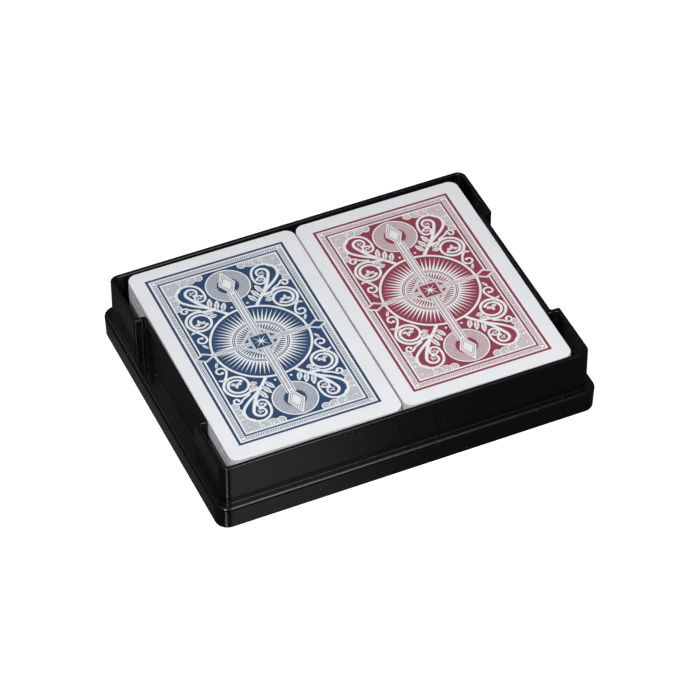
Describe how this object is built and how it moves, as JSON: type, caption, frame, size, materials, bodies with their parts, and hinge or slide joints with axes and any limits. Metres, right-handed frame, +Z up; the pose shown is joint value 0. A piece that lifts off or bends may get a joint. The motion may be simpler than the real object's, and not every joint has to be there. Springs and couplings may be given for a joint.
{
  "type": "two-deck playing card set in an open case base",
  "caption": "Black moulded case base with finger recesses in its short sides, holding a blue-backed and a red-backed deck of playing cards side by side, backs up.",
  "frame": {"origin": "centre of the case base's underside, on the surface that it stands on", "axes": "+X along the long side, from the blue deck towards the red deck; +Y along the cards' length towards the back; +Z up, the way the decks lift out"},
  "size_m": [0.1294, 0.0984, 0.0235],
  "materials": {
    "case_black": "semi-gloss injection moulded",
    "card_white": "satin plastic card stock",
    "blue_ink": "satin print",
    "red_ink": "satin print",
    "black_ink": "satin print"
  },
  "bodies": {
    "case_tray": {"case_base": "case_black"},
    "blue_deck": {"blue_jokers": "card_white", "blue_hearts": "card_white", "blue_clubs": "card_white"},
    "blue_cut_packet": {"blue_ace_of_diamonds": "card_white", "blue_two_of_diamonds": "card_white", "blue_three_of_diamonds": "card_white", "blue_four_of_diamonds": "card_white", "blue_five_of_diamonds": "card_white", "blue_six_of_diamonds": "card_white", "blue_seven_of_diamonds": "card_white", "blue_eight_of_diamonds": "card_white", "blue_nine_of_diamonds": "card_white", "blue_ten_of_diamonds": "card_white", "blue_jack_of_diamonds": "card_white", "blue_queen_of_diamonds": "card_white", "blue_king_of_diamonds": "card_white", "blue_two_of_spades": "card_white", "blue_three_of_spades": "card_white", "blue_four_of_spades": "card_white", "blue_five_of_spades": "card_white", "blue_six_of_spades": "card_white", "blue_seven_of_spades": "card_white", "blue_eight_of_spades": "card_white", "blue_nine_of_spades": "card_white", "blue_ten_of_spades": "card_white", "blue_jack_of_spades": "card_white", "blue_queen_of_spades": "card_white", "blue_king_of_spades": "card_white"},
    "blue_top_card": {"blue_ace_of_spades": "card_white"},
    "red_deck": {"red_jokers": "card_white", "red_hearts": "card_white", "red_clubs": "card_white"},
    "red_cut_packet": {"red_ace_of_diamonds": "card_white", "red_two_of_diamonds": "card_white", "red_three_of_diamonds": "card_white", "red_four_of_diamonds": "card_white", "red_five_of_diamonds": "card_white", "red_six_of_diamonds": "card_white", "red_seven_of_diamonds": "card_white", "red_eight_of_diamonds": "card_white", "red_nine_of_diamonds": "card_white", "red_ten_of_diamonds": "card_white", "red_jack_of_diamonds": "card_white", "red_queen_of_diamonds": "card_white", "red_king_of_diamonds": "card_white", "red_two_of_spades": "card_white", "red_three_of_spades": "card_white", "red_four_of_spades": "card_white", "red_five_of_spades": "card_white", "red_six_of_spades": "card_white", "red_seven_of_spades": "card_white", "red_eight_of_spades": "card_white", "red_nine_of_spades": "card_white", "red_ten_of_spades": "card_white", "red_jack_of_spades": "card_white", "red_queen_of_spades": "card_white", "red_king_of_spades": "card_white"},
    "red_top_card": {"red_ace_of_spades": "card_white"}
  },
  "joints": [
    {"name": "blue_deck_lift", "type": "slide", "parent": "case_tray", "child": "blue_deck", "axis": [0, 0, 1], "range_m": [0, 0.045]},
    {"name": "blue_cut_lift", "type": "slide", "parent": "blue_deck", "child": "blue_cut_packet", "axis": [0, 0, 1], "range_m": [0, 0.03]},
    {"name": "blue_top_card_lift", "type": "slide", "parent": "blue_cut_packet", "child": "blue_top_card", "axis": [0, 0, 1], "range_m": [0, 0.02]},
    {"name": "red_deck_lift", "type": "slide", "parent": "case_tray", "child": "red_deck", "axis": [0, 0, 1], "range_m": [0, 0.045]},
    {"name": "red_cut_lift", "type": "slide", "parent": "red_deck", "child": "red_cut_packet", "axis": [0, 0, 1], "range_m": [0, 0.03]},
    {"name": "red_top_card_lift", "type": "slide", "parent": "red_cut_packet", "child": "red_top_card", "axis": [0, 0, 1], "range_m": [0, 0.02]}
  ]
}
